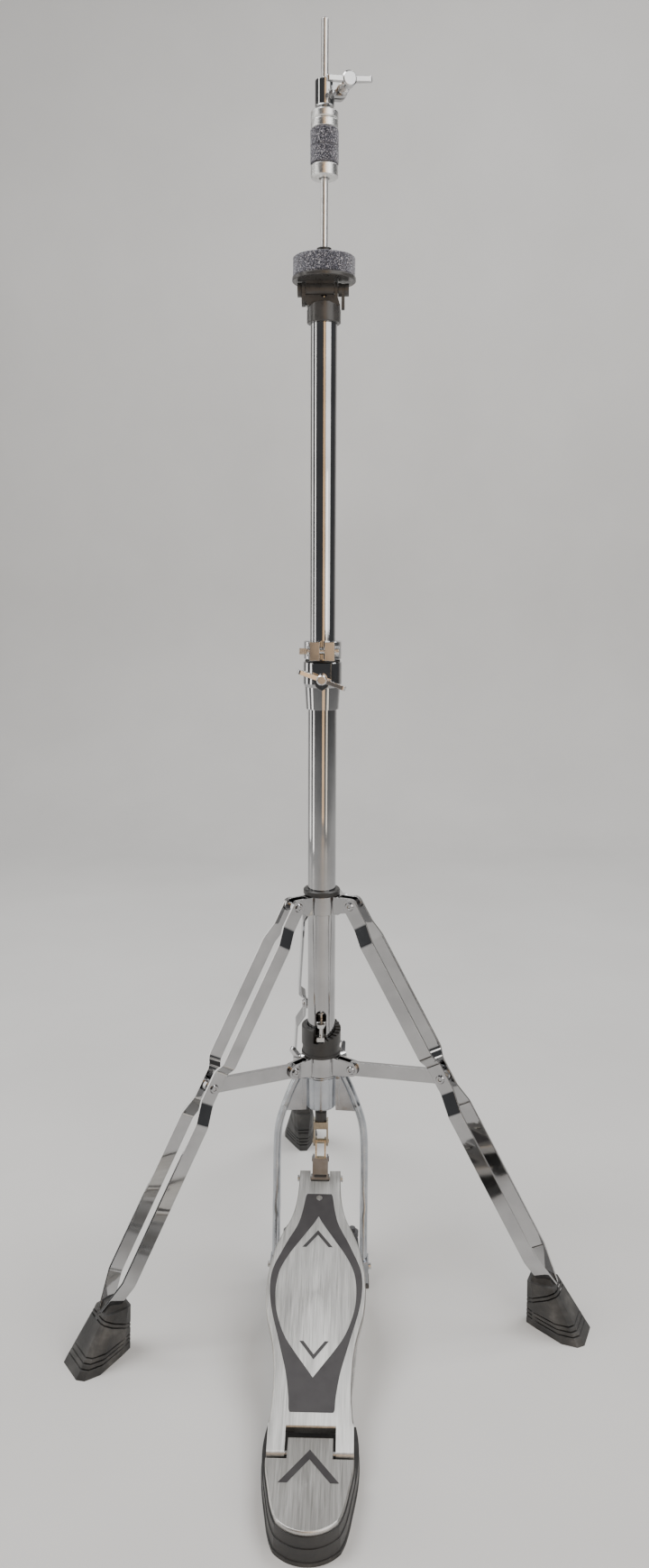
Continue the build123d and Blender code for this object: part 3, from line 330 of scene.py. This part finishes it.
def felt_profile(outer_r, hole_r, height):
    """A felt ring's closed outline as (radius, height): outer side, top, bore, underside."""
    profile = [(outer_r, height * i / FELT_ROWS) for i in range(FELT_ROWS + 1)]
    for i in range(1, FELT_RINGS + 1):
        profile.append((outer_r + (hole_r - outer_r) * i / FELT_RINGS, height))
    for i in range(1, FELT_BORE_ROWS + 1):
        profile.append((hole_r, height * (1 - i / FELT_BORE_ROWS)))
    for i in range(1, FELT_RINGS):
        profile.append((hole_r + (outer_r - hole_r) * i / FELT_RINGS, 0))
    return profile


def felt_point(radius, up, angle, outer_r, hole_r, height):
    """A point of the ring's surface, with a rounded rim and the wool's unevenness."""
    edge = min(up, height - up)
    if radius >= outer_r and edge < FELT_CORNER:
        radius -= FELT_CORNER - math.sqrt(max(0.0, FELT_CORNER ** 2 - (FELT_CORNER - edge) ** 2))
    outward = Vector((math.cos(angle), math.sin(angle), 0))
    place = outward * radius + Vector((0, 0, up))
    rough = sum(noise.noise(place * waves) * size for waves, size in WOOL_BUMPS)
    if radius > hole_r + 0.5 * MM:
        place += outward * (rough - WOOL_TRIM)
    if up > 0:
        place.z += 0.6 * rough
    return place


def add_felt_ring(mesh, centre, outer_r, hole_r, height):
    """Adds one turned felt ring, standing on its centre point, to an edited mesh."""
    profile = felt_profile(outer_r, hole_r, height)
    loops = []
    for step in range(FELT_STEPS):
        angle = 2 * math.pi * step / FELT_STEPS
        points = [felt_point(radius, up, angle, outer_r, hole_r, height) for radius, up in profile]
        loops.append([mesh.verts.new(centre + point) for point in points])
    for step in range(FELT_STEPS):
        here, there = loops[step], loops[(step + 1) % FELT_STEPS]
        for i in range(len(profile)):
            j = (i + 1) % len(profile)
            mesh.faces.new((here[i], there[i], there[j], here[j]))


def felt_washers(name, node, body, hole_r, count):
    """Felt washers, one on another, in place of a CAD node."""
    low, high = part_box(node)
    outer_r, pitch = (high.x - low.x) / 2, (high.z - low.z) / count
    height = pitch - FELT_GAP * (count - 1)
    chance = random.Random(7)
    mesh = bmesh.new()
    for layer in range(count):
        centre = Vector(((low.x + high.x) / 2, (low.y + high.y) / 2, low.z + layer * pitch))
        add_felt_ring(mesh, centre, outer_r, hole_r, height)
        add_fibres(mesh, centre, outer_r, height, chance)
    piece = object_from(mesh, name, "felt")
    for polygon in piece.data.polygons:
        polygon.use_smooth = True
    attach(piece, body)
    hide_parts(node)


FIBRES_PER_AREA = 6.0e6       # for each square metre of radius times height
FIBRE_R = 0.04 * MM


def add_fibres(mesh, centre, outer_r, height, chance):
    """Short loose wool fibres that stand off the felt's outer face."""
    for _ in range(int(outer_r * height * FIBRES_PER_AREA)):
        angle = chance.uniform(0, 2 * math.pi)
        up = chance.uniform(0.02, 0.99) * height
        outward = Vector((math.cos(angle), math.sin(angle), 0))
        root = centre + outward * (outer_r - 0.3 * MM) + Vector((0, 0, up))
        lean = Vector([chance.gauss(0, 0.6) for _ in range(3)])
        tip = root + (outward * 0.8 + lean).normalized() * chance.uniform(0.4 * MM, 1.1 * MM)
        side = (tip - root).cross(Vector((0.3, 0.2, 1))).normalized() * FIBRE_R
        up_side = (tip - root).cross(side).normalized() * FIBRE_R
        corners = (side, up_side - side * 0.5, -up_side - side * 0.5)
        base = [mesh.verts.new(root + corner) for corner in corners]
        point = mesh.verts.new(tip)
        for i in range(3):
            mesh.faces.new((base[i], base[(i + 1) % 3], point))


# ---------------------------------------------------------------- printed panels
HEEL_PIN = middle("heel_hinge_pin")
HEEL_PIN.x = TUBE_X
BOARD_FACE = 4.0 * MM         # the footboard's face above the heel pin's axis
NARROWEST_PRINT = 0.02        # millimetres
HEEL_FACE_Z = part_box("heel_plate")[1].z


def on_board(across, along):
    """A point on the footboard's face, from millimetres across and from the heel pin."""
    forward = Vector((0, math.cos(BOARD_SLOPE), math.sin(BOARD_SLOPE)))
    out = Vector((0, -math.sin(BOARD_SLOPE), math.cos(BOARD_SLOPE)))
    return HEEL_PIN + Vector((across * MM, 0, 0)) + forward * along * MM + out * (BOARD_FACE + PRINT_LIFT)


def on_heel(across, along):
    """A point on the heel plate's face, from millimetres across and behind the heel pin."""
    return Vector((HEEL_PIN.x + across * MM, HEEL_PIN.y + along * MM, HEEL_FACE_Z + PRINT_LIFT))


def table_slope(table, i):
    """The slope at one row of a table, from its neighbours."""
    before, after = table[max(i - 1, 0)], table[min(i + 1, len(table) - 1)]
    return (after[1] - before[1]) / (after[0] - before[0])


def blend_table(table, at):
    """A smooth value from a table of (position, value) rows."""
    for i, ((start, first), (end, last)) in enumerate(zip(table, table[1:])):
        if start <= at <= end:
            length = end - start
            t = (at - start) / length
            leave = table_slope(table, i) * length
            arrive = table_slope(table, i + 1) * length
            bend = (2 * t ** 3 - 3 * t ** 2) * (first - last) + first
            return bend + (t ** 3 - 2 * t ** 2 + t) * leave + (t ** 3 - t ** 2) * arrive
    return table[-1][1]


def printed(name, rows, place, body):
    """A thin printed layer made of strips. Each row is (along, list of (from, to) across)."""
    mesh = bmesh.new()
    for (along, spans), (next_along, next_spans) in zip(rows, rows[1:]):
        for (a, b), (c, d) in zip(spans, next_spans):
            if b - a > NARROWEST_PRINT or d - c > NARROWEST_PRINT:
                corners = ((a, along), (b, along), (d, next_along), (c, next_along))
                mesh.faces.new([mesh.verts.new(place(*corner)) for corner in corners])
    bmesh.ops.remove_doubles(mesh, verts=mesh.verts, dist=0.01 * MM)
    piece = object_from(mesh, name, "print")
    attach(piece, body)


# Half widths of the dark panel and of its window, as (millimetres from the heel pin, half width).
PANEL_HALF = [
    (29, 16.6), (31, 17.6), (40, 18.2), (55, 20.4), (65, 22.5), (80, 26.6), (91.5, 29.7),
    (105, 33.6), (120, 37.2), (136, 39.3), (150, 38.9), (160, 36.6), (172, 31.8), (185, 26.3),
    (195, 21.4), (204.5, 17.6), (215, 15.2), (225, 13.6), (234, 12.3), (236.5, 11.2),
]
WINDOW_HALF = [
    (57, 0), (62, 3.6), (70, 9.4), (80, 16.6), (91.5, 23.9), (105, 29.4), (120, 33.2), (136, 34.2),
    (150, 32.8), (160, 29.6), (172, 23.6), (184, 16.2), (196, 8.6), (204, 3.6), (211, 0),
]
HOLE_ALONG, HOLE_HALF = 232.0, 2.75
PANEL_STEPS, CHEVRON_STEPS = 260, 60


def board_panel():
    """The dark border panel with a lens-shaped window and the hole left free."""
    rows = []
    start, end = PANEL_HALF[0][0], PANEL_HALF[-1][0]
    for i in range(PANEL_STEPS + 1):
        along = start + (end - start) * i / PANEL_STEPS
        outer = blend_table(PANEL_HALF, along)
        gap = 0.0
        if WINDOW_HALF[0][0] < along < WINDOW_HALF[-1][0]:
            gap = blend_table(WINDOW_HALF, along)
        if abs(along - HOLE_ALONG) < HOLE_HALF:
            gap = math.sqrt(HOLE_HALF ** 2 - (along - HOLE_ALONG) ** 2)
        rows.append((along, [(-outer, -gap), (gap, outer)]))
    printed("board_panel", rows, on_board, "footboard")


def chevron(name, apex, legs_end, half, thickness, place, body):
    """A plain V of even thickness, from its apex to its two leg ends, along the plate."""
    rows = []
    for i in range(CHEVRON_STEPS + 1):
        share = i / CHEVRON_STEPS
        along = apex + (legs_end - apex) * share
        reach = half * share
        inner = max(0.0, half * (share - thickness / abs(legs_end - apex)))
        rows.append((along, [(-reach, -inner), (inner, reach)]))
    printed(name, rows, place, body)


# ---------------------------------------------------------------- floor, light and camera
FLOOR_NEAR, FLOOR_FAR, FLOOR_HALF = -6.0, 2.2, 6.0
SWEEP_R, BACKDROP_TOP, SWEEP_STEPS = 0.6, 3.4, 12


def floor():
    """A plain pale floor that curves up into a backdrop."""
    turn_y = FLOOR_FAR - SWEEP_R
    profile = [(FLOOR_NEAR, 0.0), (turn_y, 0.0)]
    for i in range(1, SWEEP_STEPS + 1):
        angle = math.radians(90 * i / SWEEP_STEPS)
        profile.append((turn_y + SWEEP_R * math.sin(angle), SWEEP_R - SWEEP_R * math.cos(angle)))
    profile.append((FLOOR_FAR, BACKDROP_TOP))
    points = [(x, y, z) for y, z in profile for x in (-FLOOR_HALF, FLOOR_HALF)]
    faces = [(2 * i, 2 * i + 1, 2 * i + 3, 2 * i + 2) for i in range(len(profile) - 1)]
    data = bpy.data.meshes.new("floor")
    data.from_pydata(points, [], faces)
    for polygon in data.polygons:
        polygon.use_smooth = True
    sheet = bpy.data.objects.new("floor", data)
    bpy.context.scene.collection.objects.link(sheet)
    material, tree, surface = metal_or_plastic("pale_floor", 0.75)
    clouds = noise_field(tree, 3.0, 4)
    tree.links.new(ramp(tree, clouds, [(0.3, (0.60, 0.595, 0.585)), (0.7, (0.65, 0.645, 0.635))]),
                   surface.inputs["Base Color"])
    tree.links.new(spread(tree, clouds, 0.7, 0.8), surface.inputs["Roughness"])
    data.materials.append(material)


def area_light(name, place, target, size, power, colour=(1, 1, 1)):
    data = bpy.data.lights.new(name, "AREA")
    data.shape = "RECTANGLE"
    data.size, data.size_y = size
    data.energy = power
    data.color = colour
    lamp = bpy.data.objects.new(name, data)
    bpy.context.scene.collection.objects.link(lamp)
    lamp.location = place
    lamp.rotation_euler = (Vector(target) - Vector(place)).to_track_quat("-Z", "Y").to_euler()


def lights():
    """A dim studio, upright softboxes that the tubes mirror, and two softboxes overhead."""
    world = bpy.data.worlds.new("studio")
    bpy.context.scene.world = world
    world.use_nodes = True
    background = world.node_tree.nodes["Background"]
    background.inputs["Color"].default_value = (0.60, 0.61, 0.63, 1)
    background.inputs["Strength"].default_value = 0.16
    standing_light("broad", 44, 1.7, 0.52, 2.6, 1.4, 2.4, (1, 0.99, 0.97))
    standing_light("warm", 9, 1.8, 0.03, 2.4, 0.56, 1.6, (1.0, 0.62, 0.30))
    standing_light("low", 38, 1.7, 0.03, 0.90, 0.36, 2.0, (1.0, 0.90, 0.74))
    standing_light("edge", -72, 1.5, 0.03, 2.4, 0.32, 3.2, (1, 0.97, 0.92))
    standing_light("side", -108, 1.6, 0.03, 1.6, 0.5, 2.2, (1, 0.98, 0.94))
    area_light("top_left", (-1.2, -0.1, 2.7), (-0.3, 0.1, 0), (1.3, 1.3), 48)
    area_light("top_right", (1.2, 0.5, 2.7), (0.3, 0.5, 0), (1.3, 1.3), 48)


def standing_light(name, azimuth, distance, low, high, width, radiance, colour):
    """An upright softbox that faces the tube, its azimuth measured from the front to the right."""
    turn = math.radians(azimuth)
    middle_z = (low + high) / 2
    place = (TUBE_X + distance * math.sin(turn), TUBE_Y - distance * math.cos(turn), middle_z)
    power = radiance * math.pi * width * (high - low)
    area_light(name, place, (TUBE_X, TUBE_Y, middle_z), (width, high - low), power, colour)


CAMERA_TURN = (-1.427, 10.971, 0.238)          # degrees: yaw, pitch down, roll
CAMERA_LENS, SENSOR_WIDTH = 24.84, 36
CAMERA_FROM_TUBE = (0.02586, -0.95375, 0.66132)


def camera():
    """The camera that took the photograph, by its place from the tube's axis at the floor."""
    yaw, pitch, roll = (math.radians(angle) for angle in CAMERA_TURN)
    forward = Vector((math.sin(yaw) * math.cos(pitch), math.cos(yaw) * math.cos(pitch), -math.sin(pitch)))
    level = Vector((math.cos(yaw), -math.sin(yaw), 0))
    upright = level.cross(forward)
    right = level * math.cos(roll) + upright * math.sin(roll)
    up = upright * math.cos(roll) - level * math.sin(roll)
    data = bpy.data.cameras.new("camera")
    data.sensor_width = SENSOR_WIDTH
    data.lens = CAMERA_LENS
    eye = bpy.data.objects.new("camera", data)
    bpy.context.scene.collection.objects.link(eye)
    turn = Matrix((right, up, -forward)).transposed()
    place = Vector((TUBE_X, TUBE_Y, 0)) + Vector(CAMERA_FROM_TUBE)
    eye.matrix_world = Matrix.Translation(place) @ turn.to_4x4()
    bpy.context.scene.camera = eye


finish_nodes()
felt_washers("seat_felt_pad", "seat_felt", "seat", SEAT_FELT_HOLE_R, 1)
felt_washers("clutch_felt_pads", "clutch_felts", "clutch", CLUTCH_FELT_HOLE_R, 2)
board_panel()
chevron("board_chevron_up", 196, 178, 13.5, 5.0, on_board, "footboard")
chevron("board_chevron_low", 72, 88, 12.0, 4.5, on_board, "footboard")
chevron("heel_chevron", 0, -30, 22.0, 9.0, on_heel, "frame")
floor()
lights()
camera()
